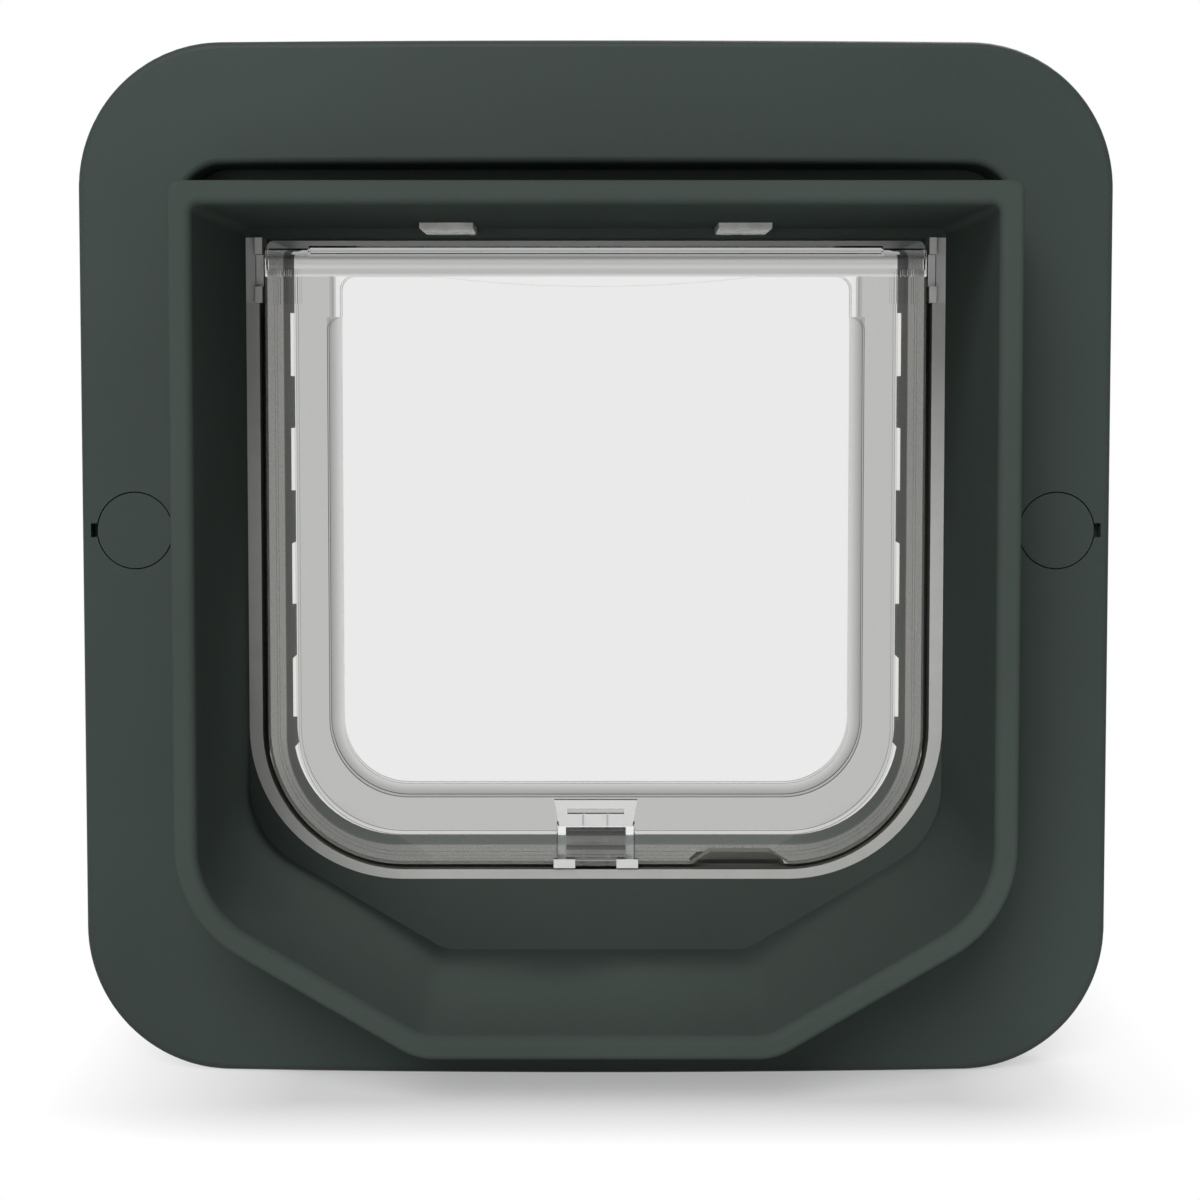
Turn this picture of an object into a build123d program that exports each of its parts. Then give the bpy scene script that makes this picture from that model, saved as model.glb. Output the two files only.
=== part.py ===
"""Chip-reading cat flap: outer frame, tunnel, clear flap, lock and indoor housing, in millimetres.

X runs across the door, +Y runs from outdoors to indoors, +Z is up. The origin is the middle of the base.
"""
import os

from build123d import *

# Frames on both faces of the door
frame_size = 210.0
frame_border = 23.5
frame_head = 30.1
frame_corner = 29.3
frame_crown = 4.4
frame_wall = 2.6
frame_edge = 1.5

# Depths from the tunnel's rim to the room
plate_setback = 23.7
plate_depth = 16.3
door_thickness = 30.0
housing_depth = 39.0
collar_height = 7.0

# Tunnel, which stands inside the frames' borders
tunnel_rise = 10.4
tunnel_wall = 4.6
tunnel_skin = 1.9
rim_depth = 7.0
rim_outer_round = 1.2
rim_inner_round = 1.7
floor_half = 33.5
side_rise = 25.5
roof_corner = 1.8
outer_roof_corner = 2.2
side_corner = 20.0
floor_corner = 8.0
back_wall = 5.8

# Aperture of the outer frame round the tunnel
aperture_gap = 2.5
aperture_top_gap = 5.6
aperture_corner = 8.6
aperture_wall = 2.2
aperture_web = 2.2
aperture_fit = 0.4
aperture_round = 1.2
rib_thickness = 1.6
rib_drop = 3.0
rib_places = (-60.0, -20.0, 20.0, 60.0)

# Fixing screws and their caps
screw_inset = 11.1
screw_z = 111.4
cap_radius = 7.7
cap_gap = 0.25
cap_thickness = 2.0
cap_height = 6.0
cap_skirt = 1.2
notch_height = 2.9
notch_width = 1.2
screw_radius = 2.0
screw_clearance = 0.3
screw_head_radius = 4.0
screw_head_height = 2.6
screw_bite = 18.0
screw_boss = 6.0
recess_width = 1.0
recess_length = 4.4
recess_depth = 1.4

# Reader coil between tunnel and sleeve
coil_room = 1.2
coil_thickness = 0.9
coil_width = 14.0
coil_setback = 32.0
sleeve_end = 4.0

# Presence sensors in the tunnel's roof
sensor_x = 31.7
sensor_width = 11.3
sensor_length = 17.0
sensor_drop = 1.5
sensor_fit = 0.1
sensor_round = 0.6

# Flap opening, its seal and the hinge
sill_rise = 16.0
opening_corner = 34.0
hinge_drop = 6.5
hinge_bar_radius = 3.1
hinge_bar_sides = 8
hinge_gap = 1.4
seal_side = 2.9
seal_base = 2.1
seal_corner = 31.5
bearing_foot = 9.8
bearing_gap = 0.3
bearing_rib_width = 1.6
bearing_rib_stand = 0.8
bearing_socket = 7.0
bearing_socket_rise = 3.6
bearing_socket_depth = 1.2
pin_radius = 1.5
pin_running = 0.05
pin_depth = 9.0
pin_reach = 2.6

# Clear flap
flap_edge_gap = 1.1
flap_base_gap = 0.9
flap_corner = 30.0
flap_thickness = 6.0
flap_recess = 0.8
flap_edge = 0.4
band_width = 6.8
lip_width = 2.1
lip_step = 0.5
band_step = 0.4
knuckle_width = 9.5
knuckle_radius = 2.4
knuckle_groove = 1.0
knuckle_groove_depth = 0.8
knuckle_grooves = 3
margin_width = 13.6
margin_base = 15.1
bead_width = 2.9
bead_step = 0.8
bead_stop = 12.8
window_thickness = 2.0
window_drop = 3.8
window_corner = 14.6
window_top_corner = 3.0
bulge_half = 36.0
bulge_drop = 2.2
bulge_thickness = 4.8

# Magnet clip on the flap
clip_half = 8.5
clip_height = 9.0
clip_front = 1.4
clip_side_gap = 0.2
clip_tongue_half = 9.25
clip_waist_half = 8.15
clip_tongue = 5.8
clip_slot_half = 6.3
clip_slot_height = 1.2
clip_slot_drop = 1.9
clip_groove = 0.5
clip_groove_x = 2.7
clip_band_rise = 1.8
clip_band_pitch = 2.6
clip_band_height = 0.8
clip_bands = 3
clip_foot_gap = 0.4
clip_foot_inner = 4.6
clip_foot_outer = 9.4
clip_foot_height = 1.5
magnet_half = 6.7
magnet_height = 6.8
magnet_depth = 4.0
magnet_floor = 0.9
sill_magnet_depth = 4.2
sill_magnet_cover = 1.0

# Indoor passage and its notched collar
passage_gap = 0.4
passage_roof_gap = 4.2
passage_sill_drop = 2.2
passage_corner = 26.0
passage_wall = 2.6
collar_notch = 15.3
collar_pitch = 27.83
collar_first = 14.6
collar_side_notches = 4
collar_base = 21.5

# Indoor housing
back_plate = 2.5
back_plate_fit = 0.2
boss_radius = 4.0
boss_side_inset = 13.0
boss_inset = 20.0
small_screw_radius = 1.5
small_screw_length = 14.0
small_head_radius = 2.8
small_head_height = 1.5
tunnel_screw_x = (15.0, 40.0)
tunnel_screw_rise = 8.6
tunnel_screw_radius = 1.25
tunnel_screw_bite = 4.5
tunnel_head_radius = 2.3
tunnel_head_height = 1.7
lug_x = 46.0
lug_half = 6.0
lug_thickness = 1.1
lug_fit = 0.15

# Batteries and their cover
cell_radius = 7.25
cell_length = 50.5
cell_nub_radius = 2.75
cell_nub = 1.0
cell_fit = 0.15
contact_thickness = 0.5
contact_half = 5.0
contact_rib = 0.8
tray_wall = 1.6
tray_setback = 19.2
cover_ledge = 1.3
cover_thickness = 2.0
cover_fit = 0.3
cover_corner = 2.0
cover_grip_half = 11.0
cover_grip_depth = 0.9
cover_grip_height = 5.0
cover_grip_rise = 4.0

# Circuit board and learn button
board_inset = 23.0
board_width = 132.0
board_height = 22.0
board_thickness = 1.6
board_standoff = 4.5
standoff_radius = 2.2
chip_size = 12.0
chip_height = 1.6
button_inset = 10.0
button_radius = 4.0
button_running = 0.1
button_flange = 5.4
button_flange_height = 1.2
button_guide = 1.5
button_stem = 1.8
button_travel = 1.2
button_stand = 0.6
button_round = 0.5
switch_half = 3.0
switch_height = 3.5
switch_gap = 1.5

# Lock catch, the notch of the flap above it, and its solenoid
notch_half = 11.1
notch_top_half = 6.7
lock_notch_height = 2.9
catch_inset = 4.6
catch_half = 10.4
catch_depth = 10.0
catch_fit = 0.3
catch_stand = 0.3
catch_shoulder = 1.4
catch_head_drop = 1.0
catch_stem_half = 4.0
catch_travel = 6.0
plunger_radius = 2.5
plunger_running = 0.05
plunger_bite = 4.0
plunger_guide = 6.0
solenoid_half = 13.0
solenoid_depth = 10.0
solenoid_gap = 0.3
solenoid_height = 14.0

# Places that follow from the sizes above
rim_y = -(plate_setback + plate_depth + door_thickness + housing_depth + collar_height) / 2
plate_y = rim_y + plate_setback
door_out_y = plate_y + plate_depth
door_in_y = door_out_y + door_thickness
room_y = door_in_y + housing_depth
collar_y = room_y + collar_height
wall_y = door_in_y - back_wall
flap_y = wall_y + flap_recess
hinge_y = flap_y + flap_thickness / 2
flap_back_y = flap_y + flap_thickness
cavity_y = door_in_y + back_plate
crown_radius = ((frame_size / 2) ** 2 + frame_crown**2) / (2 * frame_crown)
middle_z = frame_size / 2
screw_x = frame_size / 2 - screw_inset
boss_x = frame_size / 2 - boss_side_inset
board_right = frame_size / 2 - board_inset
board_left = board_right - board_width
button_x = board_right - button_inset
tunnel_half = frame_size / 2 - frame_border
tunnel_height = frame_size - tunnel_rise - frame_head
inner_half = tunnel_half - tunnel_wall
floor_z = tunnel_rise + tunnel_wall
roof_z = tunnel_rise + tunnel_height - tunnel_wall
sill_z = floor_z + sill_rise
hinge_z = roof_z - hinge_drop
opening_top_z = hinge_z + hinge_bar_radius + hinge_gap
seal_half = inner_half - seal_side
seal_z = sill_z + seal_base
seal_top_z = hinge_z - bearing_foot
flap_half = seal_half - flap_edge_gap
flap_z = seal_z + flap_base_gap
passage_half = flap_half + passage_gap
passage_z = flap_z - passage_sill_drop
passage_roof_z = hinge_z + passage_roof_gap
tray_y = room_y - tray_setback
tray_half = contact_rib + 2 * contact_thickness + cell_length
tray_z = passage_roof_z + passage_wall + tray_wall
tray_top_z = tray_z + 4 * cell_radius + 3 * cell_fit
cell_y = tray_y + cell_radius
board_y = cavity_y + board_standoff
board_z = tray_z + 2 * cell_radius
catch_top_z = seal_z + catch_stand
catch_x = passage_half - passage_corner - catch_half - catch_inset
catch_y = cavity_y + catch_fit + catch_depth / 2
solenoid_top_z = frame_wall + solenoid_height
catch_base_z = solenoid_top_z + solenoid_gap
plunger_length = plunger_bite + catch_travel + plunger_guide
far = 2 * frame_size


def slab(face, front, back):
    """Extrude an outline, drawn as X and Z, along Y from front to back."""
    plane = Plane(origin=(0, back, 0), x_dir=(1, 0, 0), z_dir=(0, -1, 0))
    return extrude(plane * face, amount=back - front)


def block(x0, x1, y0, y1, z0, z1):
    """Box between two corners."""
    middle = Pos((x0 + x1) / 2, (y0 + y1) / 2, (z0 + z1) / 2)
    return middle * Box(x1 - x0, y1 - y0, z1 - z0)


def rod_y(x, z, radius, front, back):
    """Round bar along Y."""
    return Pos(x, (front + back) / 2, z) * Rot(90, 0, 0) * Cylinder(radius, back - front)


def rod_x(y, z, radius, left, right):
    """Round bar along X."""
    return Pos((left + right) / 2, y, z) * Rot(0, 90, 0) * Cylinder(radius, right - left)


def rod_z(x, y, radius, base, top):
    """Upright round bar."""
    return Pos(x, y, (base + top) / 2) * Cylinder(radius, top - base)


def outline(points, radii):
    """Closed outline with its own radius at each corner."""
    return make_face(FilletPolyline(*points, radius=radii, close=True))


def mirrored(piece):
    """The same piece on the other side of the middle."""
    return mirror(piece, about=Plane.YZ)


def crown(front_y, towards):
    """Large upright cylinder whose surface passes through front_y on the middle line."""
    return Pos(0, front_y + towards * crown_radius, middle_z) * Cylinder(crown_radius, far)


def frame_outline(inset=0.0):
    """Square outline with large corners that both frames share."""
    side = frame_size - 2 * inset
    return Pos(0, middle_z) * RectangleRounded(side, side, frame_corner - inset)


def tunnel_outline(grow=0.0):
    """Inside of the tunnel, square above and sloped to a flat floor below, or its outside if grown."""
    points = [
        (-inner_half, roof_z),
        (-inner_half, floor_z + side_rise),
        (-floor_half, floor_z),
        (floor_half, floor_z),
        (inner_half, floor_z + side_rise),
        (inner_half, roof_z),
    ]
    radii = [roof_corner, side_corner, floor_corner, floor_corner, side_corner, roof_corner]
    inside = outline(points, radii)
    if not grow:
        return inside
    base = floor_z + side_rise + side_corner
    upper = arch(inner_half + grow, base, roof_z + grow, 0.0, outer_roof_corner)
    return offset(inside, amount=grow) + upper


def arch(half, base, top, corner, top_corner=0.0):
    """Upright opening with two large corners at its base."""
    points = [(-half, top), (-half, base), (half, base), (half, top)]
    return outline(points, [top_corner, corner, corner, top_corner])


def opening_outline():
    return arch(inner_half, sill_z, opening_top_z, opening_corner)


def passage_outline(grow=0.0):
    inside = arch(passage_half, passage_z, passage_roof_z, passage_corner, roof_corner)
    return offset(inside, amount=grow) if grow else inside


def aperture_outline(grow=0.0):
    """Hole in the outer frame: follows the tunnel with a gap, and stands higher above its roof."""
    low = offset(tunnel_outline(), amount=tunnel_wall + aperture_gap + grow)
    half = tunnel_half + aperture_gap + grow
    top = roof_z + tunnel_wall + aperture_top_gap + grow
    base = floor_z + side_rise + side_corner
    upper = arch(half, base, top, 0.0, aperture_corner + grow)
    return low + upper


def make_outer_frame():
    """Crowned moulding, hollow behind, with a collar and a back wall round the tunnel, ribs and bosses."""
    shell = slab(frame_outline(), plate_y, door_out_y) & crown(plate_y, 1)
    face = shell.faces().sort_by(Axis.Y)[0]
    shell = fillet(face.edges(), frame_edge)
    inner_face_y = plate_y + frame_wall
    hollow = slab(frame_outline(frame_wall), plate_y, door_out_y) & crown(inner_face_y, 1)
    hollow -= slab(aperture_outline(aperture_wall), plate_y, door_out_y)
    for side in (-1, 1):
        hollow -= rod_y(side * screw_x, screw_z, cap_radius + cap_gap + aperture_wall, plate_y, door_out_y)
    rib_half = rib_thickness / 2
    for place in rib_places:
        rib_back = door_out_y - rib_drop
        hollow -= block(place - rib_half, place + rib_half, plate_y, rib_back, 0, frame_size)
        height = middle_z + place
        hollow -= block(-middle_z, middle_z, plate_y, rib_back, height - rib_half, height + rib_half)
    shell -= hollow
    shell -= slab(aperture_outline(), plate_y - frame_wall, door_out_y - aperture_web)
    shell -= slab(tunnel_outline(tunnel_wall + aperture_fit), plate_y, door_out_y)
    mouth = shell.faces().sort_by(Axis.Y)[0].inner_wires()[0].edges()
    shell = fillet(mouth, aperture_round)
    pocket_y = cap_seat_y()
    for side in (-1, 1):
        x = side * screw_x
        shell -= rod_y(x, screw_z, cap_radius + cap_gap, plate_y - frame_wall, pocket_y)
        shell -= rod_y(x, screw_z, screw_radius + screw_clearance, pocket_y, door_out_y)
        notch_x = x + side * (cap_radius + cap_gap)
        notch_near = notch_x - side * cap_gap
        notch_far = notch_x + side * notch_width
        shell -= block(
            min(notch_near, notch_far),
            max(notch_near, notch_far),
            plate_y,
            pocket_y - cap_thickness,
            screw_z - notch_height / 2,
            screw_z + notch_height / 2,
        )
    return shell


def crown_fall(x):
    """How far a crowned face falls back at a distance from the middle line."""
    return crown_radius - (crown_radius**2 - x**2) ** 0.5


def cap_seat_y():
    return plate_y + crown_fall(screw_x) + cap_height


def make_screw_cap(side):
    """Disc flush with the crowned face, on a skirt that stands on the pocket's floor."""
    x = side * screw_x
    seat = cap_seat_y()
    disc = rod_y(x, screw_z, cap_radius, plate_y - cap_thickness, seat)
    disc -= rod_y(x, screw_z, cap_radius - cap_skirt, seat - cap_height + cap_thickness, seat)
    return disc & crown(plate_y, 1)


def make_fixing_screw(side):
    """Long pan-head screw from the cap's pocket into the indoor housing."""
    x = side * screw_x
    seat = cap_seat_y()
    head = rod_y(x, screw_z, screw_head_radius, seat - screw_head_height, seat)
    head = fillet(head.faces().sort_by(Axis.Y)[0].edges(), screw_head_height / 3)
    recess_y = seat - screw_head_height + recess_depth
    half = recess_length / 2
    thin = recess_width / 2
    head -= block(x - half, x + half, seat - screw_head_height, recess_y, screw_z - thin, screw_z + thin)
    head -= block(x - thin, x + thin, seat - screw_head_height, recess_y, screw_z - half, screw_z + half)
    shank = rod_y(x, screw_z, screw_radius, seat, cavity_y + screw_bite)
    return head + shank


def sensor_place(side, grow=0.0, drop=0.0):
    """Block for a sensor lens, or with its fit added the pocket that takes it."""
    half = sensor_width / 2 + grow
    x = side * sensor_x
    back = wall_y + grow
    front = wall_y - sensor_length - grow
    return block(x - half, x + half, front, back, roof_z - drop, roof_z + tunnel_skin)


def make_tunnel():
    """Liner with a thick rim outdoors and a back wall that frames the flap."""
    rim = slab(tunnel_outline(tunnel_wall), rim_y, rim_y + rim_depth)
    rim = fillet(rim.faces().sort_by(Axis.Y)[0].edges(), rim_outer_round)
    rim -= slab(tunnel_outline(), rim_y, rim_y + rim_depth)
    mouth = rim.faces().sort_by(Axis.Y)[0].inner_wires()[0].edges()
    rim = fillet(mouth, rim_inner_round)
    skin = slab(tunnel_outline(tunnel_skin), rim_y + rim_depth, door_in_y)
    skin -= slab(tunnel_outline(), rim_y + rim_depth, wall_y)
    skin -= slab(opening_outline(), wall_y, door_in_y)
    body = rim + skin
    body -= make_sill_magnet()
    for side in (-1, 1):
        body -= sensor_place(side, sensor_fit)
        body += lug(side)
        for x in tunnel_screw_x:
            body -= rod_y(side * x, tunnel_screw_z(), tunnel_screw_radius, tunnel_screw_tip(), door_in_y)
    return body


def lug(side, grow=0.0):
    """Hook above the opening that enters a slot of the back plate."""
    x = side * lug_x
    half = lug_half + grow
    top = roof_z + tunnel_skin
    return block(x - half, x + half, door_in_y, cavity_y, top - lug_thickness - grow, top + grow)


def tunnel_screw_z():
    return floor_z + tunnel_screw_rise


def tunnel_screw_tip():
    return door_in_y - tunnel_screw_bite


def make_sleeve():
    """Outer wall of the tunnel, slid on from behind over the reader coil."""
    start = rim_y + rim_depth
    tube = slab(tunnel_outline(tunnel_wall), start, door_in_y)
    tube -= slab(tunnel_outline(tunnel_skin + coil_room), start, door_in_y - sleeve_end)
    return tube - slab(tunnel_outline(tunnel_skin), door_in_y - sleeve_end, door_in_y)


def make_coil():
    """Flat winding of the chip reader, wrapped round the liner."""
    start = rim_y + coil_setback
    band = slab(tunnel_outline(tunnel_skin + coil_thickness), start, start + coil_width)
    return band - slab(tunnel_outline(tunnel_skin), start, start + coil_width)


def make_sensor_lens(side):
    """Pale lens that stands a little out of the roof."""
    lens = sensor_place(side, 0.0, sensor_drop)
    low = lens.faces().sort_by(Axis.Z)[0]
    return fillet(low.edges(), sensor_round)


def make_draught_seal():
    """Clear strip inside the flap opening, open at the top under the bearings."""
    strip = slab(opening_outline(), wall_y, door_in_y)
    strip -= slab(arch(seal_half, seal_z, opening_top_z, seal_corner), wall_y, door_in_y)
    return strip & block(-far, far, wall_y, door_in_y, 0, seal_top_z)


def make_hinge_bearing(side):
    """Clear block beside the flap with a ribbed front and a blind bore for the hinge pin."""
    near = flap_half + bearing_gap
    piece = block(near, inner_half, wall_y, door_in_y, seal_top_z, opening_top_z)
    front = wall_y - bearing_rib_stand
    piece += block(near, near + bearing_rib_width, front, wall_y, seal_top_z, opening_top_z)
    low = seal_top_z + bearing_socket_rise
    socket_y = wall_y + bearing_socket_depth
    piece -= block(near, near + bearing_rib_width, front, socket_y, low, low + bearing_socket)
    piece -= rod_x(hinge_y, hinge_z, pin_radius + pin_running, near, near + pin_reach + bearing_gap)
    return piece if side > 0 else mirrored(piece)


def window_outline(grow=0.0, top=None):
    """Outline of the thin window, grown by the bead round it."""
    half = flap_half - margin_width - bead_width + grow
    base = flap_z + margin_base + bead_width - grow
    top = hinge_z - window_drop if top is None else top
    return arch(half, base, top, window_corner + grow, window_top_corner)


def clip_notch():
    half = clip_half + clip_side_gap
    return block(-half, half, flap_y, flap_back_y, 0, flap_z + clip_height)


def knuckle_slots(near, step):
    """Upright grooves below the thin ends of the hinge bar, on one face of the flap."""
    front, back = sorted((near, near + step * knuckle_groove_depth))
    low = seal_top_z
    high = hinge_z - knuckle_radius
    pitch = knuckle_width / (knuckle_grooves + 1)
    slots = []
    for side in (-1, 1):
        for index in range(knuckle_grooves):
            x = side * (flap_half - pitch * (index + 1))
            half = knuckle_groove / 2
            slots.append(block(x - half, x + half, front, back, low, high))
    return slots


def lock_notch():
    """Notch in the flap's lower edge that gives it room over the lowered catch."""
    top = flap_z + lock_notch_height
    points = [(-notch_half, flap_z), (notch_half, flap_z), (notch_top_half, top), (-notch_top_half, top)]
    return Pos(catch_x, 0, 0) * slab(make_face(Polyline(*points, close=True)), flap_y, flap_back_y)


def hinge_bar(half):
    """Eight-sided bar along the hinge line."""
    plane = Plane(origin=(-half, hinge_y, hinge_z), x_dir=(0, 1, 0), z_dir=(1, 0, 0))
    section = Rot(0, 0, 180 / hinge_bar_sides) * RegularPolygon(hinge_bar_radius, hinge_bar_sides)
    return extrude(plane * section, amount=2 * half)


def make_flap_panel():
    """Clear moulding: hinge bar, stepped lip, outer band, margin, bead and thin window."""
    plate = slab(arch(flap_half, flap_z, hinge_z, flap_corner), flap_y, flap_back_y)
    edges = plate.edges().filter_by(lambda e: abs(e.center().Z - hinge_z) > hinge_bar_radius)
    rims = [e for e in edges if abs(abs(e.center().Y - hinge_y) - flap_thickness / 2) < frame_edge / 2]
    plate = fillet(rims, flap_edge)
    bar_half = flap_half - knuckle_width
    plate += rod_x(hinge_y, hinge_z, knuckle_radius, -flap_half, flap_half)
    plate += hinge_bar(bar_half)
    top_z = hinge_z - window_drop
    inner = arch(flap_half - lip_width, flap_z + lip_width, hinge_z, flap_corner - lip_width)
    lip = arch(flap_half, flap_z, hinge_z - knuckle_radius, flap_corner) - inner
    margin = arch(flap_half - band_width, flap_z + band_width, top_z, flap_corner - band_width)
    bead = window_outline(bead_width, hinge_z - bead_stop)
    pocket = (flap_thickness - window_thickness) / 2
    cuts = ((lip, lip_step), (margin, band_step), (bead, band_step + bead_step), (window_outline(), pocket))
    for near, step in ((flap_y, 1), (flap_back_y, -1)):
        for shape, depth in cuts:
            plate -= slab(shape, *sorted((near, near + step * depth)))
        plate -= knuckle_slots(near, step)
    arc = ThreePointArc((-bulge_half, top_z), (0, top_z - bulge_drop), (bulge_half, top_z))
    chord = Line((bulge_half, top_z), (-bulge_half, top_z))
    half = bulge_thickness / 2
    plate += slab(make_face(arc + chord), hinge_y - half, hinge_y + half)
    for side in (-1, 1):
        tip = side * flap_half
        root = side * (flap_half - pin_depth)
        plate -= rod_x(hinge_y, hinge_z, pin_radius, min(tip, root), max(tip, root))
    return plate - clip_notch() - lock_notch()


def make_hinge_pin(side):
    """Clear pin pressed into the hinge bar, with a free end in the bearing."""
    pin = rod_x(hinge_y, hinge_z, pin_radius, flap_half - pin_depth, flap_half + pin_reach)
    return pin if side > 0 else mirrored(pin)


def make_latch_clip():
    """Clear clip: a box in the flap's notch, two feet and a tapered tongue up its front."""
    front = flap_y - clip_front
    top = flap_z + clip_height
    box = block(-clip_half, clip_half, front, flap_back_y, flap_z, top)
    tongue_points = [
        (-clip_waist_half, top),
        (clip_waist_half, top),
        (clip_tongue_half, top + clip_tongue),
        (-clip_tongue_half, top + clip_tongue),
    ]
    tongue = slab(make_face(Polyline(*tongue_points, close=True)), front, flap_y)
    slot_z = top + clip_tongue - clip_slot_drop
    tongue -= block(-clip_slot_half, clip_slot_half, front, flap_y, slot_z - clip_slot_height, slot_z)
    clip = box + tongue
    foot_z = seal_z + clip_foot_gap
    foot = block(clip_foot_inner, clip_foot_outer, front, flap_y, foot_z, flap_z + clip_foot_height)
    clip += [foot, mirrored(foot)]
    groove = clip_groove / 2
    for x in (-clip_groove_x, clip_groove_x):
        clip -= block(x - groove, x + groove, front, front + clip_groove, flap_z, slot_z - clip_slot_height)
    for index in range(clip_bands):
        low = flap_z + clip_band_rise + index * clip_band_pitch
        high = low + clip_band_height
        clip -= block(-clip_slot_half, clip_slot_half, front, front + clip_groove, low, high)
    return clip - make_flap_magnet()


def make_flap_magnet():
    """Bar magnet pushed into the clip from the room side."""
    base = flap_z + magnet_floor
    front = flap_back_y - magnet_depth
    return block(-magnet_half, magnet_half, front, flap_back_y, base, base + magnet_height)


def make_sill_magnet():
    """Bar magnet in the back of the tunnel's wall, under the flap's magnet."""
    top = sill_z - sill_magnet_cover
    front = door_in_y - sill_magnet_depth
    return block(-magnet_half, magnet_half, front, door_in_y, top - magnet_height, top)


def boss_places():
    """Centres of the four screws that hold the back plate."""
    return [(x, z) for x in (-boss_x, boss_x) for z in (boss_inset, frame_size - boss_inset)]


def tray_box(grow=0.0):
    """Space for the batteries, open to the room."""
    half = tray_half + grow
    return block(-half, half, tray_y - grow, collar_y, tray_z - grow, tray_top_z + grow)


def cover_outline(grow=0.0):
    width = 2 * (tray_half + cover_ledge + grow)
    height = tray_top_z - tray_z + 2 * (cover_ledge + grow)
    return Pos(0, (tray_z + tray_top_z) / 2) * RectangleRounded(width, height, cover_corner + grow)


def cover_inner_y():
    """Deepest plane that the crowned cover reaches."""
    return room_y - frame_crown - cover_thickness


def collar_notches():
    """Cuts that leave the collar standing as teeth along the sides."""
    cuts = []
    first = passage_roof_z - collar_first - collar_notch / 2
    for index in range(collar_side_notches):
        middle = first - index * collar_pitch
        half = collar_notch / 2
        cuts.append(block(-far, -passage_half / 2, room_y, far, middle - half, middle + half))
        cuts.append(block(passage_half / 2, far, room_y, far, middle - half, middle + half))
    cuts.append(block(-far, far, room_y, far, 0, passage_z + collar_base))
    cuts.append(block(-passage_half, passage_half, room_y, far, passage_roof_z - roof_corner, far))
    return cuts


def make_inner_housing():
    """Room-side moulding: crowned face, passage with notched collar, battery tray and bosses."""
    shell = slab(frame_outline(), door_in_y, room_y) & crown(room_y, -1)
    face = shell.faces().sort_by(Axis.Y)[-1]
    shell = fillet(face.edges(), frame_edge)
    hollow = slab(frame_outline(frame_wall), door_in_y, room_y) & crown(room_y - frame_wall, -1)
    hollow -= slab(passage_outline(passage_wall), cavity_y, room_y)
    hollow -= tray_box(tray_wall)
    guide_radius = button_radius + button_running + button_guide
    hollow -= rod_y(button_x, board_z, guide_radius, button_inner_y(), room_y)
    for x, z in boss_places():
        hollow -= rod_y(x, z, boss_radius, cavity_y, room_y)
    for side in (-1, 1):
        hollow -= rod_y(side * screw_x, screw_z, screw_boss, cavity_y, room_y)
    shell -= hollow
    collar = slab(passage_outline(passage_wall), room_y - frame_crown, collar_y)
    for cut in collar_notches():
        collar -= cut
    shell += collar
    shell -= slab(passage_outline(), door_in_y, collar_y)
    ribs = block(-contact_rib, contact_rib, tray_y, tray_y + cell_radius, tray_z, tray_top_z)
    shell -= tray_box() - ribs
    cover_bed = slab(cover_outline(cover_fit), cover_inner_y(), collar_y)
    shell -= cover_bed & outside_room(cover_thickness)
    shell -= rod_y(button_x, board_z, button_radius + button_running, door_in_y, collar_y)
    shell -= catch_slot()
    for x, z in boss_places():
        shell -= rod_y(x, z, small_screw_radius, cavity_y, door_in_y + small_screw_length)
    for side in (-1, 1):
        shell -= rod_y(side * screw_x, screw_z, screw_radius, cavity_y, cavity_y + screw_bite)
    return shell


def outside_room(depth):
    """Everything on the room side of a crowned surface that lies a depth under the face."""
    return block(-far, far, 0, far, 0, far) - crown(room_y - depth, -1)


def catch_slot():
    """Slot for the catch in the passage's floor, closed in front by the back plate."""
    half = catch_half + catch_fit
    back = catch_y + catch_depth / 2 + catch_fit
    return block(catch_x - half, catch_x + half, cavity_y, back, passage_z - passage_wall, passage_z)


def make_back_plate():
    """Flat plate that closes the housing on its door side and carries the tunnel."""
    plate = slab(frame_outline(frame_wall + back_plate_fit), door_in_y, cavity_y)
    plate -= slab(passage_outline(), door_in_y, cavity_y)
    for x, z in boss_places():
        plate -= screw_seat(x, z)
    for side in (-1, 1):
        plate -= rod_y(side * screw_x, screw_z, screw_radius + screw_clearance, door_in_y, cavity_y)
        plate -= lug(side, lug_fit)
        for x in tunnel_screw_x:
            hole = tunnel_screw_radius + screw_clearance
            plate -= rod_y(side * x, tunnel_screw_z(), hole, door_in_y, cavity_y)
    for x, z in standoff_places():
        plate += rod_y(x, z, standoff_radius, cavity_y, board_y)
    return plate


def screw_seat(x, z):
    """Countersunk head and shank of a back plate screw, which is also the shape of its hole."""
    cone = Cone(small_head_radius, small_screw_radius, small_head_height)
    head = Pos(x, door_in_y + small_head_height / 2, z) * Rot(-90, 0, 0) * cone
    return head + rod_y(x, z, small_screw_radius, door_in_y, door_in_y + small_screw_length)


def make_housing_screws():
    slot = recess_width / 2
    screws = []
    for x, z in boss_places():
        screw = screw_seat(x, z)
        half = recess_length / 2
        screw -= block(x - half, x + half, door_in_y, door_in_y + slot, z - slot, z + slot)
        screw -= block(x - slot, x + slot, door_in_y, door_in_y + slot, z - half, z + half)
        screws.append(screw)
    return screws


def make_tunnel_screws():
    """Short screws from the housing side into the tunnel's back wall."""
    screws = []
    for side in (-1, 1):
        for x in tunnel_screw_x:
            head_back = cavity_y + tunnel_head_height
            head = rod_y(side * x, tunnel_screw_z(), tunnel_head_radius, cavity_y, head_back)
            shank = rod_y(side * x, tunnel_screw_z(), tunnel_screw_radius, tunnel_screw_tip(), cavity_y)
            screws.append(head + shank)
    return screws


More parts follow.
